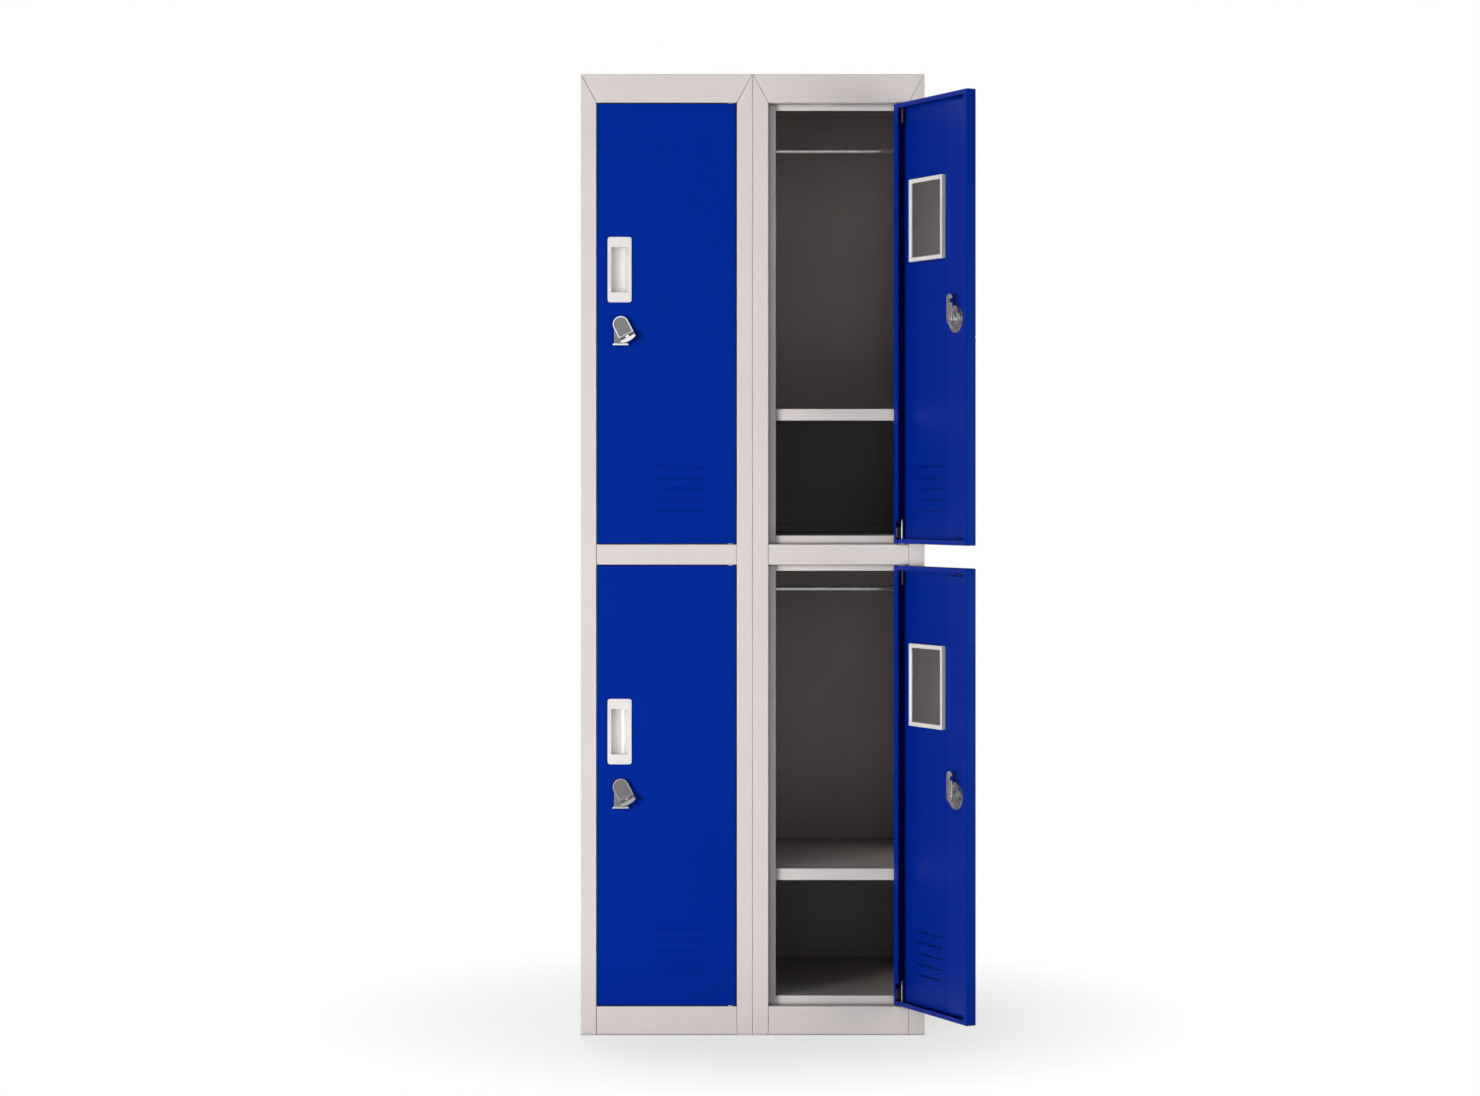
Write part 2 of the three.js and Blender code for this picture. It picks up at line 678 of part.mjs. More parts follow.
// The fixed upper hinge pin, with the collar that carries the door clear of the frame.
function topPin() {
  const pin = uprightCylinder(PIN_RADIUS, 0, 0, DOOR_TOP - TOP_PIN_LENGTH, OPENING_HEIGHT + PIN_TIP);
  const middle = (DOOR_TOP + OPENING_HEIGHT) / 2;
  const half = COLLAR.thickness / 2;
  return join(pin, uprightCylinder(COLLAR.radius, 0, 0, middle - half, middle + half));
}

// The sprung lower hinge pin, with the finger tab that draws it up out of the frame.
function bottomPin() {
  const pin = uprightCylinder(PIN_RADIUS, 0, 0, -PIN_TIP, BOTTOM_PIN_LENGTH + DOOR_BOTTOM);
  const low = DOOR_BOTTOM + PIN_TAB.from;
  const half = PIN_TAB.thickness / 2;
  const tab = boxBetween([-half, 0, low], [half, PIN_TAB.reach, low + PIN_TAB.height]);
  return join(pin, tab);
}

// ---- assembly ----

function piece(parent, name, geometry, finish) {
  const mesh = new THREE.Mesh(geometry, new THREE.MeshStandardMaterial(MATERIALS[finish]));
  mesh.name = name;
  parent.add(mesh);
  return mesh;
}

function groupAt(parent, x, y, z) {
  const group = new THREE.Group();
  group.position.set(x, y, z);
  parent.add(group);
  return group;
}

function addDoor(parent, name, opening, openAngle, leverAngle) {
  const leaf = groupAt(parent, PIVOT_X, PIVOT_Y, opening);
  leaf.rotation.z = THREE.MathUtils.degToRad(openAngle);
  piece(leaf, `${name}_door`, door(), "door");
  piece(leaf, `${name}_top_pin`, topPin(), "steel");
  piece(leaf, `${name}_bottom_pin`, bottomPin(), "steel");

  const handlePlace = groupAt(leaf, FREE_EDGE + HANDLE.fromFree, DOOR_FRONT, HANDLE.middle);
  piece(handlePlace, `${name}_handle`, handle(), "plastic");

  const mirrorX = HINGE_EDGE - MIRROR.fromHinge - MIRROR.width / 2;
  const mirrorPlace = groupAt(leaf, mirrorX, DOOR_FRONT + SHEET + FIT_GAP, MIRROR.middle);
  piece(mirrorPlace, `${name}_mirror_frame`, mirrorFrame(), "plastic");
  piece(mirrorPlace, `${name}_mirror_glass`, mirrorGlass(), "mirror");

  const lockPlace = groupAt(leaf, FREE_EDGE + LOCK.fromFree, DOOR_FRONT, LOCK.middle);
  piece(lockPlace, `${name}_lock_base`, lockBase(), "chrome");
  piece(lockPlace, `${name}_lock_plate`, lockPlate(), "steel");
  const turning = groupAt(lockPlace, 0, 0, 0);
  turning.rotation.y = THREE.MathUtils.degToRad(leverAngle);
  piece(turning, `${name}_lock_lever`, lockLever(), "chrome");
  piece(turning, `${name}_lock_cam`, lockCam(), "steel");
}

function addBay(parent, name, x, openAngle, leverAngle) {
  const bay = groupAt(parent, x, 0, 0);
  piece(bay, `${name}_bay_left_side`, sidePanel(-1), "carcass");
  piece(bay, `${name}_bay_right_side`, sidePanel(1), "carcass");
  piece(bay, `${name}_bay_back`, backPanel(), "carcass");
  piece(bay, `${name}_bay_top`, topPanel(), "carcass");
  piece(bay, `${name}_bay_middle_deck`, middleDeck(), "carcass");
  piece(bay, `${name}_bay_base`, basePan(), "carcass");
  for (const [tier, opening] of Object.entries(TIERS)) {
    piece(bay, `${name}_${tier}_shelf`, shelf(opening), "carcass");
    piece(bay, `${name}_${tier}_hanging_rail`, hangingRail(opening), "chrome");
    addDoor(bay, `${name}_${tier}`, opening, openAngle, leverAngle);
  }
}

const locker = new THREE.Group();
addBay(locker, "left", -HALF_BAY, 0, LEVER_LEAN);
addBay(locker, "right", HALF_BAY, DOOR_OPEN, 0);

export default locker;
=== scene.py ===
import json
import math

import bmesh
import bpy
from mathutils import Matrix, Vector


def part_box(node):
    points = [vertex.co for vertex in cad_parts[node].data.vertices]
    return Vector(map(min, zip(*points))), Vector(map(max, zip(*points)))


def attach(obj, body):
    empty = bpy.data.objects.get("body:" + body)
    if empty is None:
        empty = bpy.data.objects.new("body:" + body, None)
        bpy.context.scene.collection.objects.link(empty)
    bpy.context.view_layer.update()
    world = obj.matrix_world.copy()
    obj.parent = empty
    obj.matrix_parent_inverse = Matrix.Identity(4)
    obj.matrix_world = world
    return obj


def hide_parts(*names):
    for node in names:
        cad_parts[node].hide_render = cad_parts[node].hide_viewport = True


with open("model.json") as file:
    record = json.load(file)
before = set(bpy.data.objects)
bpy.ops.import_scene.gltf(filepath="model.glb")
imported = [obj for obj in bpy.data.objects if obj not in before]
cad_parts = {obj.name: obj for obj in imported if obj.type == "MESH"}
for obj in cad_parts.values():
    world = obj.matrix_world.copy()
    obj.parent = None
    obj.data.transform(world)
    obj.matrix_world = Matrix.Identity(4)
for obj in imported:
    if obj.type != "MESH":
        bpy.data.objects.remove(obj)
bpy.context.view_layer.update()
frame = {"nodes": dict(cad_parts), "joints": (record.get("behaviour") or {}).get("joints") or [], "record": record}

MM = 0.001
BAYS = ("left", "right")
TIERS = ("lower", "upper")
DOORS = [f"{bay}_{tier}" for bay in BAYS for tier in TIERS]
JOINTS = {joint["name"]: joint for joint in frame["joints"]}

# The handle, as seen from the front of the door.
HANDLE = {"width": 45, "height": 122.6, "corner": 5, "proud": 2}
POCKET = {"width": 32, "height": 85, "depth": 11.6, "wall": 1.2}

MIRROR = {"width": 119, "height": 154, "glass_rear": 3.6, "glass_front": 5.6, "cover": 4.4}
MIRROR_CORNER = 1.6
# The frame's section: how far in from its outer edge, and how far off the door.
MIRROR_SECTION = [
    (0, 0), (0, 6.6), (0.4, 7.6), (1.4, 8), (5.6, 8),
    (7, 7.5), (8, 6.4), (8, 5.9), (3.6, 5.9), (3.6, 0),
]

# The lock, in a frame on its turning axis; y = 0 on the front of the door, z up.
TONGUE_RADIUS = 14.9
BASE = {"front": -3.3, "rear": -0.3, "radius": 12.5, "ear_from": 36.3, "ear_to": 40.3, "ear_width": 30}
LEVER = {"front": -9.6, "rear": -3.6, "face": 22, "ramp": 28.5, "reach": 35.4, "rim": 1.9, "recess": 1.1}
EAR_PROUD = 19
SHACKLE = {"radius": 4, "from_door": 14.2}
BARREL = {"radius": 8.5, "end": 19}
SPINDLE = 6
DISC = {"radius": 25, "from": 15.3, "thickness": 1.5}
NUT = {"across": 22, "from": 16.9, "to": 19.6}
CAM = {"from": 27, "thickness": 2.5, "length": 46, "width": 20, "notch_from": 29, "notch_to": 37, "notch": 9}
SCREW = {"radius": 5, "from": 29.8, "height": 2.5}

# The hinge pins, in the frame of a door: z = 0 on the rail under it.
PIN = {"radius": 2.5, "tip": 6, "top_length": 36, "bottom_length": 46}
TAB = {"from": 11, "height": 20, "thickness": 1.5, "reach": 12.5, "hole": 2}
OPENING_HEIGHT = 827
DOOR_GAP = 1.5
FIT_GAP = 0.3  # between a fitting and what it is fixed to
CUTTER_EDGE = 0.01  # the rounding of a shape that only cuts, so next to none
WASHER = {"radius": 5.6, "hole": 3, "thickness": 1.1}

SOCKET = {"radius": 8.6, "wall": 1.8, "depth": 9, "flange": 13, "flange_thickness": 1.6}
SOCKET_SETBACK = 0.8  # from a rail's end back towards the wall


# ---- outlines, as lists of (x, z) ----

def arc(radius, start, end, steps, centre=(0, 0)):
    """Points along an arc, angles in degrees."""
    points = []
    for i in range(steps + 1):
        angle = math.radians(start + (end - start) * i / steps)
        points.append((centre[0] + radius * math.cos(angle), centre[1] + radius * math.sin(angle)))
    return points


def circle(radius, steps=48):
    return arc(radius, 0, 360, steps)[:-1]


def rounded_rectangle(width, height, radius, steps=6):
    x = width / 2 - radius
    z = height / 2 - radius
    corners = [(x, z, 0), (-x, z, 90), (-x, -z, 180), (x, -z, 270)]
    outline = []
    for cx, cz, start in corners:
        outline += arc(radius, start, start + 90, steps, (cx, cz))
    return outline


def tongue(radius, bottom):
    """Round about the axis above, with straight sides down to a square end."""
    return arc(radius, 0, 180, 24) + [(-radius, -bottom), (radius, -bottom)]


def round_tongue(radius, reach):
    """Round about the axis above, with straight sides down to an end that is an arc about the axis."""
    spread = math.degrees(math.asin(radius / reach))
    return arc(radius, 0, 180, 24) + arc(reach, 270 - spread, 270 + spread, 12)


def inset(outline, distance):
    """The outline moved inwards by distance."""
    count = len(outline)
    moved = []
    for i, point in enumerate(outline):
        before = Vector(point) - Vector(outline[i - 1])
        after = Vector(outline[(i + 1) % count]) - Vector(point)
        normals = [Vector((-edge.y, edge.x)).normalized() for edge in (before, after) if edge.length > 1e-6]
        middle = sum(normals, Vector((0, 0))) / len(normals)
        moved.append(tuple(Vector(point) + middle * distance / max(middle.length_squared, 0.25)))
    return moved


# ---- meshes, in millimetres until they are placed ----

def mesh_from(rings, caps=True, around=False):
    """A closed surface through rings of points: capped at both ends, or joined round into a loop."""
    build = bmesh.new()
    rows = [[build.verts.new(point) for point in ring] for ring in rings]
    pairs = list(zip(rows, rows[1:]))
    if around:
        pairs.append((rows[-1], rows[0]))
    for one, other in pairs:
        for i in range(len(one)):
            j = (i + 1) % len(one)
            build.faces.new((one[i], one[j], other[j], other[i]))
    if caps and not around:
        build.faces.new(rows[0])
        build.faces.new(rows[-1])
    bmesh.ops.remove_doubles(build, verts=build.verts, dist=1e-4)
    bmesh.ops.recalc_face_normals(build, faces=build.faces)
    mesh = bpy.data.meshes.new("shape")
    build.to_mesh(mesh)
    build.free()
    return mesh


def plate(outline, front, rear, edge=0.4, steps=3):
    """An outline made solid from y = front to y = rear, with rounded edges."""
    turns = [math.pi / 2 * k / steps for k in range(steps + 1)]
    layers = [(edge * (1 - math.sin(t)), front + edge * (1 - math.cos(t))) for t in turns]
    layers += [(edge * (1 - math.sin(t)), rear - edge * (1 - math.cos(t))) for t in reversed(turns)]
    return mesh_from([[(x, y, z) for x, z in inset(outline, depth)] for depth, y in layers])


def frame_loop(section, width, height, corner):
    """A section of (inset, y) carried round a rectangle with rounded corners."""
    rings = []
    for depth, y in section:
        radius = max(corner - depth, 0.3)
        outline = rounded_rectangle(width - 2 * depth, height - 2 * depth, radius)
        rings.append([(x, y, z) for x, z in outline])
    return mesh_from(rings, around=True)


def turned(profile, steps=48, axis="Z"):
    """A profile of (radius, height) turned about an axis: closed on itself unless it ends on the axis."""
    rings = []
    for radius, height in profile:
        ring = circle(max(radius, 0.01), steps)
        rings.append([(x, height, z) if axis == "Y" else (x, z, height) for x, z in ring])
    open_bore = profile[0] == profile[-1]
    return mesh_from(rings[:-1] if open_bore else rings, around=open_bore)


def box(low, high):
    (x0, y0, z0), (x1, y1, z1) = low, high
    rectangle = [(x0, z0), (x1, z0), (x1, z1), (x0, z1)]
    return mesh_from([[(x, y, z) for x, z in rectangle] for y in (y0, y1)])


def prism(outline, x0, x1):
    """An outline of (y, z) points run along x."""
    return mesh_from([[(x, y, z) for y, z in outline] for x in (x0, x1)])


def after(mesh, *steps):
    """The mesh after each modifier step, as (kind, settings)."""
    holder = bpy.data.objects.new("holder", mesh)
    bpy.context.scene.collection.objects.link(holder)
    for kind, settings in steps:
        modifier = holder.modifiers.new(kind, kind)
        for key, value in settings.items():
            setattr(modifier, key, value)
    graph = bpy.context.evaluated_depsgraph_get()
    result = bpy.data.meshes.new_from_object(holder.evaluated_get(graph))
    bpy.data.objects.remove(holder)
    return result


def combine(mesh, operation, *others):
    """The mesh joined with, cut by or limited to the others."""
    for other in others:
        tool = bpy.data.objects.new("tool", other)
        bpy.context.scene.collection.objects.link(tool)
        mesh = after(mesh, ("BOOLEAN", {"operation": operation, "object": tool, "solver": "EXACT"}))
        bpy.data.objects.remove(tool)
    return mesh


def rounded(mesh, width=0.4, segments=2):
    """The mesh with its sharp edges rounded off."""
    sharp = {"limit_method": "ANGLE", "angle_limit": math.radians(35)}
    return after(mesh, ("BEVEL", {"width": width, "segments": segments, **sharp}))


def shaded(mesh, degrees=35):
    """Smooth shading, sharp at edges over the angle, with normals that keep the flats flat."""
    mesh.polygons.foreach_set("use_smooth", [True] * len(mesh.polygons))
    mesh.set_sharp_from_angle(angle=math.radians(degrees))
    return after(mesh, ("WEIGHTED_NORMAL", {"keep_sharp": True}))


# ---- material nodes ----

class Graph:
    """A material's nodes, made one at a time with their inputs."""

    def __init__(self, name):
        self.material = bpy.data.materials.new(name)
        self.material.use_nodes = True
        self.tree = self.material.node_tree
        self.surface = self.tree.nodes["Principled BSDF"]
        self.place = self.node("ShaderNodeTexCoord").outputs["Object"]

    def node(self, kind, inputs=None, **settings):
        node = self.tree.nodes.new(kind)
        for key, value in settings.items():
            setattr(node, key, value)
        self.fill(node, inputs or {})
        return node

    def fill(self, node, inputs):
        for key, value in inputs.items():
            if isinstance(value, bpy.types.NodeSocket):
                self.tree.links.new(value, node.inputs[key])
            else:
                node.inputs[key].default_value = value

    def noise(self, scale, detail=2.0, stretch=(1, 1, 1)):
        """Noise from 0 to 1 over the object's own metres."""
        scaled = self.node("ShaderNodeMapping", {"Vector": self.place, "Scale": stretch})
        inputs = {"Vector": scaled.outputs["Vector"], "Scale": scale, "Detail": detail}
        return self.node("ShaderNodeTexNoise", inputs).outputs["Fac"]

    def ranged(self, value, low, high, from_low=0.3, from_high=0.7):
        """The value carried from one range to another, and held within it."""
        inputs = {"Value": value, "From Min": from_low, "From Max": from_high, "To Min": low, "To Max": high}
        return self.node("ShaderNodeMapRange", inputs).outputs["Result"]

    def mix(self, factor, one, other):
        node = self.node("ShaderNodeMix", data_type="RGBA")
        self.fill(node, {0: factor, 6: one, 7: other})
        return node.outputs[2]

    def bump(self, height, distance, strength=1.0):
        inputs = {"Height": height, "Distance": distance, "Strength": strength}
        return self.node("ShaderNodeBump", inputs).outputs["Normal"]

    def edges(self, radius):
        """1 on the sharp edges and 0 on the flats."""
        bevel = self.node("ShaderNodeBevel", {"Radius": radius}, samples=4)
        normal = self.node("ShaderNodeNewGeometry").outputs["Normal"]
        normals = {0: bevel.outputs["Normal"], 1: normal}
        dot = self.node("ShaderNodeVectorMath", normals, operation="DOT_PRODUCT")
        return self.ranged(dot.outputs["Value"], 1.0, 0.0, 0.86, 0.99)

    def open_to_light(self, distance):
        """1 on open faces, falling towards 0 where other faces stand close round a point."""
        return self.node("ShaderNodeAmbientOcclusion", {"Distance": distance}, samples=4).outputs["AO"]

    def finish(self, inputs):
        self.fill(self.surface, inputs)
        return self.material


def shade(color, factor):
    return tuple(min(channel * factor, 1) for channel in color[:3]) + (1,)


EDGE_WEAR_AND_SHADE = 0.0009  # metres in from a sharp edge: a band of paler worn paint on the carcass and of painted shade on the doors
RECESS_SHADE_REACH = 0.4  # metres to the faces that make a point a recess, which is darkened with painted shade
SEAM_SHADE_REACH = 0.006  # metres to the faces that make a point a narrow gap or crease, which is darkened with painted shade


# recess and the last tone set how dark the painted shade is in recesses and in seams.
def powder_coat(name, color, roughness, gloss, edge_wear_and_shade_color, recess, seam_shade_tone, sheen=(1, 1, 1, 1)):
    """Baked powder: orange peel, faint clouds, specks, an edge band (worn paint where paler, painted shade where
    darker), painted shade in recesses and painted shade in seams.
    """
    graph = Graph(name)
    cloud = graph.ranged(graph.noise(3.5, 3), 0, 1)
    paint = graph.mix(cloud, shade(color, 0.975), shade(color, 1.02))
    speck = graph.ranged(graph.noise(2600, 1), 0, 0.12, 0.68, 0.8)
    paint = graph.mix(speck, paint, shade(color, 0.6))
    # Edges toned in their own colour in patches: paler worn paint on the carcass, painted shade along the doors'
    # rolled edges.
    edges = graph.edges(EDGE_WEAR_AND_SHADE)
    patchy = graph.ranged(graph.noise(18, 4), 0.1, 0.55)
    edge_wear_and_shade = graph.node("ShaderNodeMath", {0: edges, 1: patchy}, operation="MULTIPLY")
    paint = graph.mix(edge_wear_and_shade.outputs[0], paint, edge_wear_and_shade_color)
    # Painted shade: the paint darkens towards the recess tone where other faces close round a point, as inside the
    # compartments.
    painted_recess_shade = graph.ranged(graph.open_to_light(RECESS_SHADE_REACH), 1, 0, 0.22, 0.5)
    paint = graph.mix(painted_recess_shade, paint, shade(color, recess))
    # Painted shade: darker still in gaps, bends and louvres, where faces stand within a few millimetres.
    painted_seam_shade = graph.ranged(graph.open_to_light(SEAM_SHADE_REACH), 1, 0, 0.35, 0.9)
    paint = graph.mix(painted_seam_shade, paint, shade(color, seam_shade_tone))
    peel = graph.bump(graph.noise(700, 2), 0.00003, 0.5)
    return graph.finish({
        "Base Color": paint,
        "Roughness": graph.ranged(graph.noise(9, 4), roughness - 0.05, roughness + 0.06),
        "Specular IOR Level": gloss,
        "Specular Tint": sheen,
        "Normal": peel,
    })


def moulded_plastic(name, color, roughness):
    """Injection-moulded plastic: faint flow marks, a fine satin texture and painted shade in the recesses."""
    graph = Graph(name)
    flow = graph.ranged(graph.noise(30, 3, (1, 1, 0.25)), 0, 1)
    clean = graph.mix(flow, shade(color, 0.97), shade(color, 1.02))
    # Painted shade: darker in hollows such as the handle's pocket.
    painted_hollow_shade = graph.ranged(graph.open_to_light(0.03), 1, 0, 0.3, 0.85)
    return graph.finish({
        "Base Color": graph.mix(painted_hollow_shade, clean, shade(color, 0.6)),
        "Roughness": graph.ranged(graph.noise(120, 3), roughness - 0.06, roughness + 0.08),
        "Subsurface Weight": 0.05,
        "Subsurface Radius": (0.002, 0.0018, 0.0015),
        "Normal": graph.bump(graph.noise(2200, 1), 0.00001, 0.4),
    })


def bright_plate(name, color, roughness, smudge):
    """Polished plating: hairline marks and hand smudges in the sheen."""
    graph = Graph(name)
    hairline = graph.noise(900, 2, (1, 1, 0.06))
    dirt = graph.ranged(graph.noise(55, 4), 0, 1, 0.45, 0.75)
    sheen = graph.ranged(graph.noise(140, 4), roughness, roughness + smudge)
    return graph.finish({
        "Base Color": graph.mix(dirt, shade(color, 1.0), shade(color, 0.82)),
        "Metallic": 1.0,
        "Roughness": sheen,
        "Normal": graph.bump(hairline, 0.000004, 0.5),
    })


def hasp_plate(name, color, recess):
    """Bright plate, with a duller brushed face where the piece's own Y is recess, in metres."""
    graph = Graph(name)
    depth = graph.node("ShaderNodeSeparateXYZ", {0: graph.place}).outputs["Y"]
    face = graph.node("ShaderNodeMath", {0: depth, 1: recess, 2: 0.0003}, operation="COMPARE").outputs[0]
    brushed = graph.noise(1200, 3, (1, 1, 0.05))
    bright = graph.ranged(graph.noise(140, 4), 0.07, 0.2)
    dull = graph.mix(graph.ranged(brushed, 0, 1), shade(color, 0.2), shade(color, 0.29))
    return graph.finish({
        "Base Color": graph.mix(face, shade(color, 1), dull),
        "Metallic": 1.0,
        "Roughness": graph.ranged(face, bright, 0.36, 0, 1),
        "Normal": graph.bump(brushed, 0.000008, 0.5),
    })


def zinc_steel(name, color):
    """Zinc-plated sheet steel: drawn grain, a warm and cool bloom and dull patches."""
    graph = Graph(name)
    grain = graph.noise(1400, 3, (0.05, 1, 1))
    bloom = graph.ranged(graph.noise(70, 3), 0, 1)
    warm = (color[0] * 1.05, color[1], color[2] * 0.9, 1)
    cool = (color[0] * 0.92, color[1] * 0.97, color[2], 1)
    tint = graph.mix(bloom, warm, cool)
    return graph.finish({
        "Base Color": tint,
        "Metallic": 1.0,
        "Roughness": graph.ranged(grain, 0.26, 0.46),
        "Normal": graph.bump(grain, 0.00001, 0.4),
    })


def silvered_glass(name, color):
    """A mirror: nearly clean, with faint wiping marks."""
    graph = Graph(name)
    wiped = graph.noise(26, 5, (1, 1, 0.4))
    return graph.finish({
        "Base Color": graph.mix(graph.ranged(wiped, 0, 1), shade(color, 0.97), shade(color, 1.0)),
        "Metallic": 1.0,
        "Roughness": graph.ranged(wiped, 0.015, 0.06, 0.4, 0.75),
        "Coat Weight": 0.3,
    })


SLOTS = {
    # After the gloss: the edge colour, then the tones of the painted shade in recesses and in narrow gaps.
    "carcass_paint": powder_coat(
        "warm_grey_powder_coat", (0.71, 0.655, 0.635), 0.44, 0.35, (0.8, 0.76, 0.74, 1), 0.5, 0.15),
    # Its darker edge colour is painted shade along the doors' rolled edges; the carcass's paler edge colour is
    # worn paint.
    "door_paint": powder_coat(
        "blue_powder_coat", (0.0, 0.018, 0.272), 0.4, 0.3, (0, 0.006, 0.09, 1), 0.5, 0.45,
        sheen=(0.06, 0.25, 1, 1)),
    "white_plastic": moulded_plastic("white_moulded_plastic", (0.82, 0.79, 0.77), 0.3),
    "mirror": silvered_glass("silvered_glass", (0.86, 0.88, 0.87)),
    "chrome": bright_plate("bright_chrome", (0.86, 0.86, 0.86), 0.06, 0.14),
    "bright_steel": zinc_steel("zinc_steel", (0.56, 0.55, 0.52)),
}
NYLON = moulded_plastic("nylon", (0.88, 0.87, 0.83), 0.4)
POLISHED = bright_plate("polished_steel", (0.74, 0.73, 0.7), 0.1, 0.12)
DARK_ZINC = zinc_steel("dull_zinc_steel", (0.2, 0.19, 0.17))
HASP = hasp_plate("hasp_plate", (0.9, 0.89, 0.88), (LEVER["front"] + LEVER["recess"]) * MM)
HASP_BASE = hasp_plate("hasp_base_plate", (0.9, 0.89, 0.88), BASE["front"] * MM)
# Finishes that differ from their slot's own material, as (material, slot).
FINISHES = {
    "nylon": (NYLON, "white_plastic"),
    "dark_zinc": (DARK_ZINC, "bright_steel"),
    "polished": (POLISHED, "bright_steel"),
    "hasp": (HASP, "chrome"),
    "hasp_base": (HASP_BASE, "chrome"),
}


# ---- the carcass and the doors keep their CAD shapes ----

def dress(node, slot):
    """A CAD node's finish: its flats welded and joined, and its cut edges eased."""
    thing = frame["nodes"][node]
    thing.data.materials.clear()
    thing.data.materials.append(SLOTS[slot])
    thing.data.polygons.foreach_set("use_smooth", [False] * len(thing.data.polygons))
    if "custom_normal" in thing.data.attributes:
        thing.data.attributes.remove(thing.data.attributes["custom_normal"])
    weld = thing.modifiers.new("weld", "WELD")
    weld.merge_threshold = 0.00002
    flats = thing.modifiers.new("flats", "DECIMATE")
    flats.decimate_type = "DISSOLVE"
    flats.angle_limit = math.radians(0.5)
    eased = thing.modifiers.new("eased", "BEVEL")
    eased.width = 0.00018
    eased.segments = 2
    eased.limit_method = "ANGLE"
    eased.angle_limit = math.radians(50)


PAINTS = ("carcass_paint", "door_paint")
for subpart in frame["record"]["subparts"]:
    if subpart["material_slot"] in PAINTS:
        dress(subpart["node"], subpart["material_slot"])


# ---- places ----

def rest_angle(door):
    """How far the door stands open at rest, in radians."""
    return math.radians(-JOINTS[f"{door}_door_hinge"]["range_deg"][0])


def door_place(door):
    hinge = Vector(JOINTS[f"{door}_door_hinge"]["pos_m"])
    return Matrix.Translation(hinge) @ Matrix.Rotation(rest_angle(door), 4, "Z")


CARCASS_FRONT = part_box("left_bay_left_side")[0].y
CLOSED_DOOR = "left_lower"
CLOSED_HINGE = Vector(JOINTS[f"{CLOSED_DOOR}_door_hinge"]["pos_m"])


def on_door(door, node):
    """The place of a fitting on its door's front: every door carries it where the closed door does."""
    low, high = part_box(f"{CLOSED_DOOR}_{node}")
    middle = (low + high) / 2 - CLOSED_HINGE
    middle.y = CARCASS_FRONT - CLOSED_HINGE.y
    return door_place(door) @ Matrix.Translation(middle)


def mirror_place(door):
    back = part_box(f"{CLOSED_DOOR}_mirror_frame")[0].y - CARCASS_FRONT
    return on_door(door, "mirror_frame") @ Matrix.Translation((0, back, 0))


def lock_place(door):
    axis = Vector(JOINTS[f"{CLOSED_DOOR}_lock_swivel"]["pos_m"]) - CLOSED_HINGE
    axis.y = CARCASS_FRONT - CLOSED_HINGE.y
    return door_place(door) @ Matrix.Translation(axis)


def lever_place(door):
    """The lock's frame turned to where the lever stands at rest."""
    lean = -JOINTS[f"{door}_lock_swivel"]["range_deg"][1]
    return lock_place(door) @ Matrix.Rotation(math.radians(lean), 4, "Y")


def add(name, mesh, place, body, material, slot, *replaced):
    """A piece from a mesh in millimetres, placed in metres and riding on a body."""
    mesh.materials.clear()
    mesh.materials.append(material)
    thing = bpy.data.objects.new(name, mesh)
    bpy.context.scene.collection.objects.link(thing)
    thing.matrix_world = place
    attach(thing, body)
    if replaced:
        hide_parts(*replaced)
    return thing


def metres(mesh):
    mesh.transform(Matrix.Scale(MM, 4))
    return mesh


# ---- fittings ----

def handle_mesh():
    """A flat border with eased edges round a pocket that is scooped across its width."""
    border_outline = rounded_rectangle(HANDLE["width"], HANDLE["height"], HANDLE["corner"])
    border = plate(border_outline, -HANDLE["proud"], -FIT_GAP, 0.8, 4)
    wall = POCKET["wall"]
    shell_outline = rounded_rectangle(POCKET["width"] + 2 * wall, POCKET["height"] + 2 * wall, 4)
    shell = plate(shell_outline, -1, POCKET["depth"] + wall, 0.5)
    radius = (POCKET["width"] ** 2 / 4 + POCKET["depth"] ** 2) / (2 * POCKET["depth"])
    half = POCKET["height"] / 2
    scoop = turned([(0, -half), (radius, -half), (radius, half), (0, half)], 144)
    scoop.transform(Matrix.Translation((0, POCKET["depth"] - radius, 0)))
    mouth_outline = rounded_rectangle(POCKET["width"], POCKET["height"], 1.6)
    mouth = plate(mouth_outline, -HANDLE["proud"] - 4, POCKET["depth"] + 1, CUTTER_EDGE, 1)
    hollow = combine(scoop, "INTERSECT", mouth)
    body = combine(border, "UNION", shell)
    return shaded(rounded(combine(body, "DIFFERENCE", hollow), 0.35, 3))


def mirror_frame_mesh():
    return shaded(frame_loop(MIRROR_SECTION, MIRROR["width"], MIRROR["height"], MIRROR_CORNER), 40)


def mirror_glass_mesh():
    width = MIRROR["width"] - 2 * MIRROR["cover"]
    height = MIRROR["height"] - 2 * MIRROR["cover"]
    outline = rounded_rectangle(width, height, 1)
    return shaded(plate(outline, MIRROR["glass_rear"], MIRROR["glass_front"], 0.3), 40)


def shackle_hole(top, bottom):
    """A drill for the padlock's shackle, upright through an ear."""
    drill = turned([(0, -bottom), (SHACKLE["radius"], -bottom), (SHACKLE["radius"], -top), (0, -top)])
    drill.transform(Matrix.Translation((0, -SHACKLE["from_door"], 0)))
    return drill


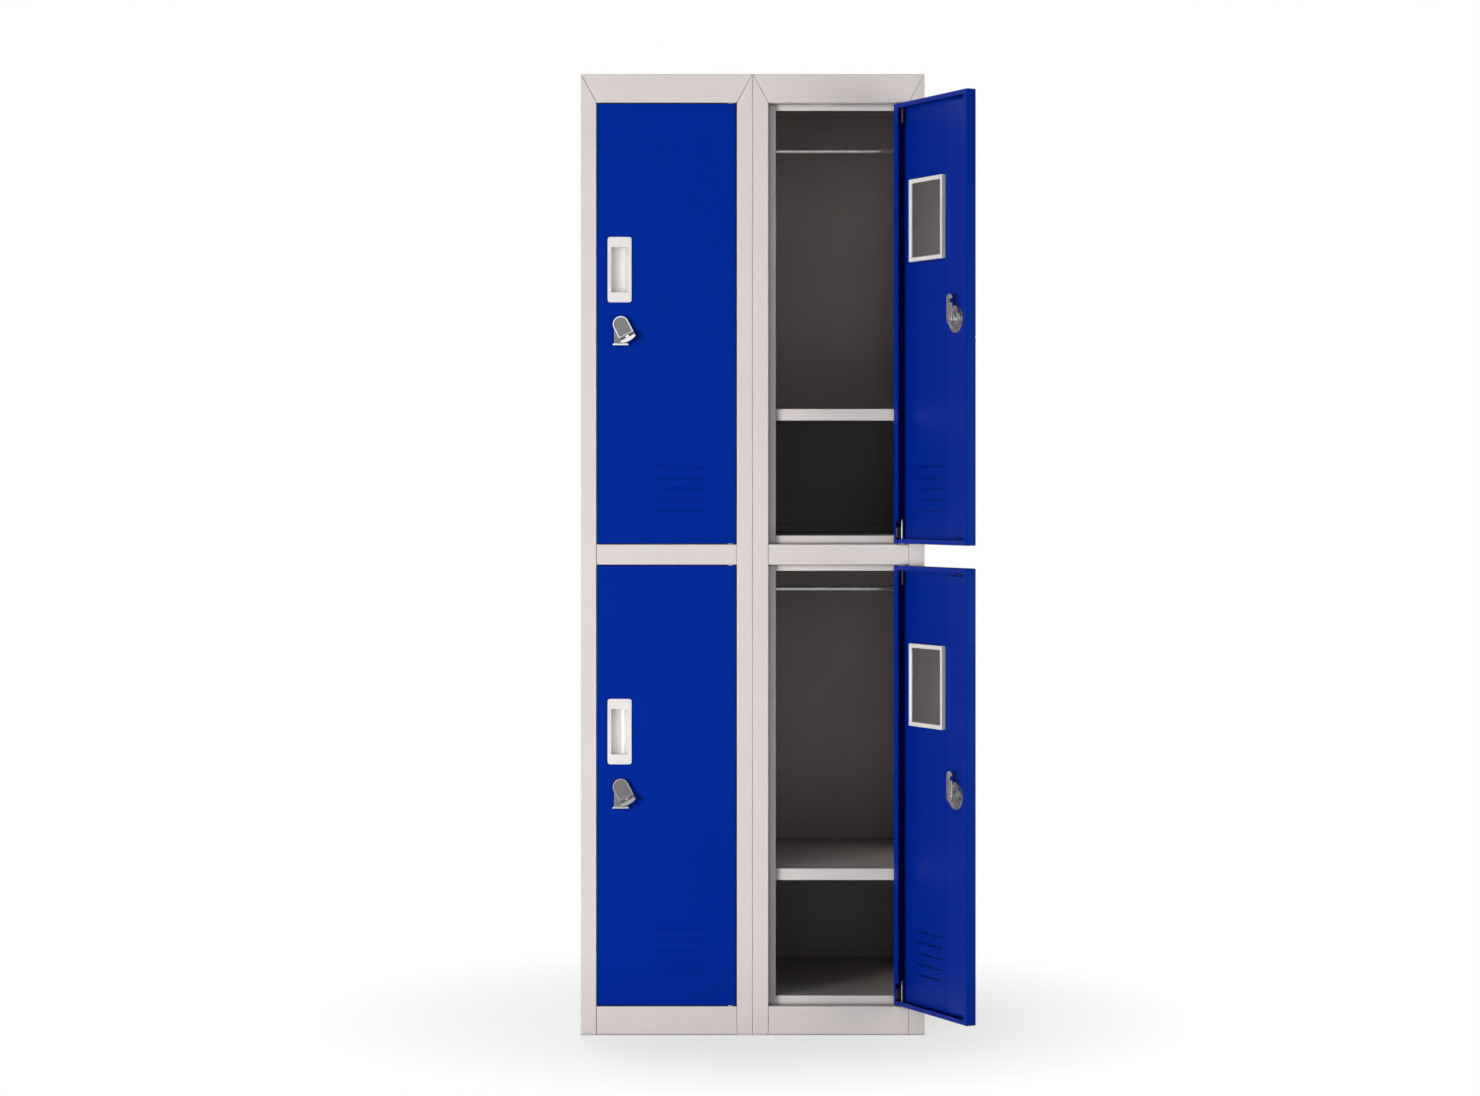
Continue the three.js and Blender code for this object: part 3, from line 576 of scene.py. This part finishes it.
def hasp_base_mesh():
    """The fixed half: a backplate, an ear that stands off the door, and the barrel through it."""
    plate_outline = tongue(BASE["radius"], BASE["ear_to"] - 1)
    back = plate(plate_outline, BASE["front"], BASE["rear"], 0.6)
    ear_outline = rounded_rectangle(BASE["ear_width"], BASE["ear_to"] - BASE["ear_from"], 1.8)
    ear = plate(ear_outline, -EAR_PROUD, BASE["rear"], 1.1)
    ear.transform(Matrix.Translation((0, 0, -(BASE["ear_from"] + BASE["ear_to"]) / 2)))
    barrel_profile = [(4.5, -1), (BARREL["radius"], -1), (BARREL["radius"], BARREL["end"] - 0.6),
                      (BARREL["radius"] - 0.6, BARREL["end"]), (4.5, BARREL["end"]), (4.5, -1)]
    barrel = turned(barrel_profile, 48, "Y")
    body = combine(back, "UNION", ear)
    body = combine(body, "DIFFERENCE", shackle_hole(BASE["ear_from"] - 2, BASE["ear_to"] + 2))
    bore = turned([(0, -6), (4.5, -6), (4.5, 2), (0, 2)], 48, "Y")
    body = combine(body, "DIFFERENCE", bore)
    return shaded(combine(body, "UNION", barrel))


def lever_mesh():
    """The turning half: a flat face in a rim, then a ramp out to the ear, with the spindle behind it."""
    front, rear = LEVER["front"], LEVER["rear"]
    side = [(rear, 20), (front, 20), (front, -LEVER["face"]), (-EAR_PROUD, -LEVER["ramp"]),
            (-EAR_PROUD, -40), (rear, -40)]
    blank = plate(round_tongue(TONGUE_RADIUS, LEVER["reach"]), -EAR_PROUD - 1, rear, CUTTER_EDGE, 1)
    body = combine(blank, "INTERSECT", prism(side, -20, 20))
    recess_outline = tongue(TONGUE_RADIUS - LEVER["rim"], LEVER["face"] - 1)
    recess = plate(recess_outline, front - 3, front + LEVER["recess"], CUTTER_EDGE, 1)
    body = combine(body, "DIFFERENCE", recess, shackle_hole(LEVER["face"] + 2, LEVER["reach"] + 2))
    body = rounded(body, 0.5, 3)
    half = SPINDLE / 2
    spindle = box((-half, rear - 1, -half), (half, SCREW["from"], half))
    return shaded(combine(body, "UNION", rounded(spindle, 0.4)))


def cam_mesh():
    """The cam plate, up from its hub, with a hook notch towards the free edge."""
    half = CAM["width"] / 2
    end = CAM["length"] - half
    outline = arc(half, 0, 180, 24, (0, end)) + arc(half, 180, 360, 24)
    rear = CAM["from"] + CAM["thickness"]
    body = plate(outline, CAM["from"], rear, 0.3)
    notch_low = (-half - 2, CAM["from"] - 1, CAM["notch_from"])
    notch_high = (CAM["notch"] - half, rear + 1, CAM["notch_to"])
    notch = box(notch_low, notch_high)
    square = SPINDLE / 2 + FIT_GAP
    hole = box((-square, CAM["from"] - 1, -square), (square, rear + 1, square))
    return shaded(rounded(combine(body, "DIFFERENCE", notch, hole), 0.2))


def screw_mesh():
    """A pan-head screw with a cross recess."""
    start, top = SCREW["from"], SCREW["from"] + SCREW["height"]
    radius = SCREW["radius"]
    head = turned([(0, start), (radius, start), (radius, start + 0.9), (radius * 0.9, top - 0.7),
                   (radius * 0.62, top - 0.15), (0, top)], 40, "Y")
    slots = [box((-3, top - 1.1, -0.5), (3, top + 1, 0.5)), box((-0.5, top - 1.1, -3), (0.5, top + 1, 3))]
    return shaded(combine(head, "DIFFERENCE", *slots))


def disc_mesh():
    """The round plate behind the door, dished, with a rolled rim."""
    start, rear = DISC["from"], DISC["from"] + DISC["thickness"]
    radius = DISC["radius"]
    hole = BARREL["radius"] + FIT_GAP
    profile = [(hole, start), (radius - 0.3, start), (radius, start + 0.4), (radius, rear - 0.3),
               (radius - 0.5, rear), (radius - 2.2, rear), (radius - 3, rear - 0.5),
               (hole, rear - 0.5), (hole, start)]
    return shaded(turned(profile, 72, "Y"))


def nut_mesh():
    """The thin nut that holds the lock's barrel to the door."""
    corner = NUT["across"] / math.sqrt(3)
    body = plate(circle(corner, 6), NUT["from"], NUT["to"], 0.4)
    bore = BARREL["radius"] - 0.2
    hole = turned([(0, 10), (bore, 10), (bore, 30), (0, 30)], 48, "Y")
    return shaded(combine(body, "DIFFERENCE", hole))


def pin_profile(low, high, tip=0.8):
    """A round bar with both ends eased."""
    radius = PIN["radius"]
    low_end = [(0, low), (radius - tip, low), (radius, low + tip)]
    high_end = [(radius, high - tip), (radius - tip, high), (0, high)]
    return low_end + high_end


def top_pin_mesh():
    door_top = OPENING_HEIGHT - DOOR_GAP
    return shaded(turned(pin_profile(door_top - PIN["top_length"], OPENING_HEIGHT + PIN["tip"]), 32))


def bottom_pin_mesh():
    """The sprung pin, with the drilled tab that a finger lifts it by."""
    bar = turned(pin_profile(-PIN["tip"], PIN["bottom_length"] + DOOR_GAP), 32)
    low = DOOR_GAP + TAB["from"]
    middle = low + TAB["height"] / 2
    outline = rounded_rectangle(TAB["reach"], TAB["height"], 3)
    half = TAB["thickness"] / 2
    tab = plate(outline, -half, half, 0.3)
    drill = turned([(0, -3), (TAB["hole"], -3), (TAB["hole"], 3), (0, 3)], 32, "Y")
    drill.transform(Matrix.Translation((1.5, 0, 4.5)))
    tab = combine(tab, "DIFFERENCE", drill)
    tab.transform(Matrix.Translation((0, 0, middle)) @ Matrix.Rotation(math.pi / 2, 4, "Z"))
    tab.transform(Matrix.Translation((0, TAB["reach"] / 2, 0)))
    return shaded(combine(bar, "UNION", tab))


def washer_mesh(height):
    low = height - WASHER["thickness"] / 2
    high = height + WASHER["thickness"] / 2
    outer, inner = WASHER["radius"], WASHER["hole"]
    profile = [(inner, low), (outer, low), (outer, high), (inner, high), (inner, low)]
    return shaded(turned(profile, 40))


def socket_mesh():
    """A cup for a rail's end, with its flange on the wall; it opens towards +x."""
    flange, rim = SOCKET["flange"], SOCKET["radius"]
    bore = rim - SOCKET["wall"]
    deep, thin = SOCKET["depth"], SOCKET["flange_thickness"]
    profile = [(bore, 0), (flange - 0.4, 0), (flange, 0.4), (flange, thin - 0.3), (flange - 0.6, thin),
               (rim + 0.8, thin), (rim, thin + 0.8), (rim, deep - 0.4), (rim - 0.4, deep),
               (bore, deep), (bore, 0)]
    mesh = turned(profile, 40)
    mesh.transform(Matrix.Rotation(math.pi / 2, 4, "Y"))
    return shaded(mesh)


FITTINGS = {
    "handle": metres(handle_mesh()),
    "mirror_frame": metres(mirror_frame_mesh()),
    "mirror_glass": metres(mirror_glass_mesh()),
    "lock_base": metres(hasp_base_mesh()),
    "lock_lever": metres(lever_mesh()),
    "lock_cam": metres(cam_mesh()),
    "cam_screw": metres(screw_mesh()),
    "lock_plate": metres(disc_mesh()),
    "lock_nut": metres(nut_mesh()),
    "top_pin": metres(top_pin_mesh()),
    "bottom_pin": metres(bottom_pin_mesh()),
    "top_washer": metres(washer_mesh(OPENING_HEIGHT - DOOR_GAP / 2)),
    "bottom_washer": metres(washer_mesh(DOOR_GAP / 2)),
    "rail_socket": metres(socket_mesh()),
}


def fit_door(door):
    """Every fitting of one door."""
    leaf, turning, bolt = f"{door}_door_leaf", f"{door}_lock_turn", f"{door}_hinge_bolt"
    at_lock, at_lever, at_hinge = lock_place(door), lever_place(door), door_place(door)
    rows = [
        ("handle", on_door(door, "handle"), leaf, "white_plastic", True),
        ("mirror_frame", mirror_place(door), leaf, "white_plastic", True),
        ("mirror_glass", mirror_place(door), leaf, "mirror", True),
        ("lock_base", at_lock, leaf, "hasp_base", True),
        ("lock_plate", at_lock, leaf, "polished", True),
        ("lock_nut", at_lock, leaf, "bright_steel", False),
        ("lock_lever", at_lever, turning, "hasp", True),
        ("lock_cam", at_lever, turning, "polished", True),
        ("cam_screw", at_lever, turning, "bright_steel", False),
        ("top_pin", at_hinge, leaf, "dark_zinc", True),
        ("bottom_pin", at_hinge, bolt, "dark_zinc", True),
        ("top_washer", at_hinge, leaf, "nylon", False),
        ("bottom_washer", at_hinge, leaf, "nylon", False),
    ]
    for fitting, place, body, finish, stands_for_node in rows:
        replaced = [f"{door}_{fitting}"] if stands_for_node else []
        material, slot = FINISHES.get(finish) or (SLOTS[finish], finish)
        add(f"{door}_{fitting}_shaped", FITTINGS[fitting], place, body, material, slot, *replaced)


def rail_mesh(length, radius):
    """A round tube along x with eased ends, closed on its bore."""
    half, bore = length / 2, radius - 1.2
    profile = [(bore, -half), (radius - 0.4, -half), (radius, 0.4 - half), (radius, half - 0.4),
               (radius - 0.4, half), (bore, half), (bore, -half)]
    mesh = turned(profile, 64)
    mesh.transform(Matrix.Rotation(math.pi / 2, 4, "Y"))
    return shaded(mesh)


def fit_rail(door):
    """The hanging rail, and the cups on the walls that hold it."""
    low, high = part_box(f"{door}_hanging_rail")
    middle = (low + high) / 2
    rail = metres(rail_mesh((high.x - low.x) / MM, (high.z - low.z) / 2 / MM))
    node = f"{door}_hanging_rail"
    add(f"{node}_shaped", rail, Matrix.Translation(middle), "carcass", SLOTS["chrome"], "chrome", node)
    left_end = Matrix.Translation((low.x - SOCKET_SETBACK * MM, middle.y, middle.z))
    right_end = Matrix.Translation((high.x + SOCKET_SETBACK * MM, middle.y, middle.z))
    ends = {"left": left_end, "right": right_end @ Matrix.Rotation(math.pi, 4, "Z")}
    socket, chrome = FITTINGS["rail_socket"], SLOTS["chrome"]
    for side, place in ends.items():
        add(f"{door}_rail_socket_{side}", socket, place, "carcass", chrome, "chrome")


for door in DOORS:
    fit_door(door)
    fit_rail(door)


# ---- the studio ----

AMBIENT = {"diffuse": 0.03, "sides": 0.3, "front": 1.0}  # the backdrop as light, and in reflections
FLOOR_RADIUS = 14
FLOOR_DROP = 0.0005  # keeps the floor just under the locker's foot


def studio_floor():
    """A pale floor that fades to the white backdrop away from the locker."""
    build = bmesh.new()
    bmesh.ops.create_circle(build, cap_ends=True, segments=64, radius=FLOOR_RADIUS)
    mesh = bpy.data.meshes.new("floor")
    build.to_mesh(mesh)
    build.free()
    floor = bpy.data.objects.new("floor", mesh)
    bpy.context.scene.collection.objects.link(floor)
    floor.location.z = -FLOOR_DROP
    graph = Graph("studio_floor")
    tone = graph.mix(graph.noise(1.5, 2), (0.86, 0.86, 0.86, 1), (0.9, 0.9, 0.9, 1))
    graph.finish({"Base Color": tone, "Roughness": 0.75, "Specular IOR Level": 0.2})
    far = graph.node("ShaderNodeVectorMath", {0: graph.place}, operation="LENGTH")
    fade = graph.ranged(far.outputs["Value"], 0.62, 1, 0.3, 0.85)
    seen = graph.node("ShaderNodeLightPath").outputs["Is Camera Ray"]
    share = graph.node("ShaderNodeMath", {0: fade, 1: seen}, operation="MULTIPLY")
    white = graph.node("ShaderNodeEmission", {"Color": (1, 1, 1, 1), "Strength": 1.0})
    blend = {0: share.outputs[0], 1: graph.surface.outputs[0], 2: white.outputs[0]}
    mixed = graph.node("ShaderNodeMixShader", blend)
    graph.tree.links.new(mixed.outputs[0], graph.tree.nodes["Material Output"].inputs["Surface"])
    mesh.materials.append(graph.material)


def studio_world():
    """White to the camera, dim as light, and bright only in front in reflections."""
    world = bpy.data.worlds.new("studio")
    bpy.context.scene.world = world
    world.use_nodes = True
    tree = world.node_tree
    tree.nodes.clear()
    path = tree.nodes.new("ShaderNodeLightPath")
    seen = tree.nodes.new("ShaderNodeBackground")
    seen.inputs["Color"].default_value = (1, 1, 1, 1)
    ambient = tree.nodes.new("ShaderNodeBackground")
    ambient.inputs["Color"].default_value = (0.95, 0.97, 1, 1)
    level = tree.nodes.new("ShaderNodeMapRange")
    level.inputs["To Min"].default_value = AMBIENT["diffuse"]
    across = tree.nodes.new("ShaderNodeSeparateXYZ")
    tree.links.new(tree.nodes.new("ShaderNodeTexCoord").outputs["Generated"], across.inputs[0])
    front = tree.nodes.new("ShaderNodeMapRange")
    front.inputs["From Min"].default_value = -0.97
    front.inputs["From Max"].default_value = -0.6
    front.inputs["To Min"].default_value = AMBIENT["front"]
    front.inputs["To Max"].default_value = AMBIENT["sides"]
    tree.links.new(across.outputs["Y"], front.inputs["Value"])
    tree.links.new(front.outputs["Result"], level.inputs["To Max"])
    tree.links.new(path.outputs["Is Glossy Ray"], level.inputs["Value"])
    tree.links.new(level.outputs["Result"], ambient.inputs["Strength"])
    mixed = tree.nodes.new("ShaderNodeMixShader")
    output = tree.nodes.new("ShaderNodeOutputWorld")
    tree.links.new(path.outputs["Is Camera Ray"], mixed.inputs[0])
    tree.links.new(ambient.outputs[0], mixed.inputs[1])
    tree.links.new(seen.outputs[0], mixed.inputs[2])
    tree.links.new(mixed.outputs[0], output.inputs["Surface"])


def soft_light(name, place, aim, size, power, color=(1, 1, 1)):
    light = bpy.data.lights.new(name, "AREA")
    light.shape = "RECTANGLE"
    light.size, light.size_y = size
    light.energy = power
    light.color = color
    lamp = bpy.data.objects.new(name, light)
    bpy.context.scene.collection.objects.link(lamp)
    lamp.location = place
    lamp.rotation_euler = (Vector(aim) - Vector(place)).to_track_quat("-Z", "Y").to_euler()
    lamp.visible_camera = False


CAMERA = {"place": (-0.0236, -5.916, 1.0245), "lens": 73.6, "sensor": 36, "shift_y": -0.0405}


def studio_camera():
    """Level, a little above the middle of the locker and square to its front."""
    camera = bpy.data.cameras.new("camera")
    camera.sensor_width = CAMERA["sensor"]
    camera.lens = CAMERA["lens"]
    camera.shift_y = CAMERA["shift_y"]
    eye = bpy.data.objects.new("camera", camera)
    bpy.context.scene.collection.objects.link(eye)
    eye.location = CAMERA["place"]
    eye.rotation_euler = (math.pi / 2, 0, 0)
    bpy.context.scene.camera = eye


studio_floor()
studio_world()
# The key is feathered: it aims low, so that the locker's foot gets more of it than its top.
soft_light("key", (-4.6, -5.6, 0.5), (0, -0.25, -5.6), (1.6, 2.2), 580, (1, 0.99, 0.98))
soft_light("fill", (4.8, -4.2, 0.5), (0, -0.25, -4.0), (1.6, 2.4), 150)
soft_light("over", (-0.8, -3.2, 5.2), (0, -0.2, 0.9), (1.6, 1.0), 14)
soft_light("top", (0, 0.5, 4.4), (0, 0.2, 0.9), (2.4, 2.0), 30)
soft_light("back", (-1.6, 4.2, 2.6), (0, 0, 0.9), (2.4, 2.4), 110)
studio_camera()
bpy.context.scene.view_settings.view_transform = "Standard"
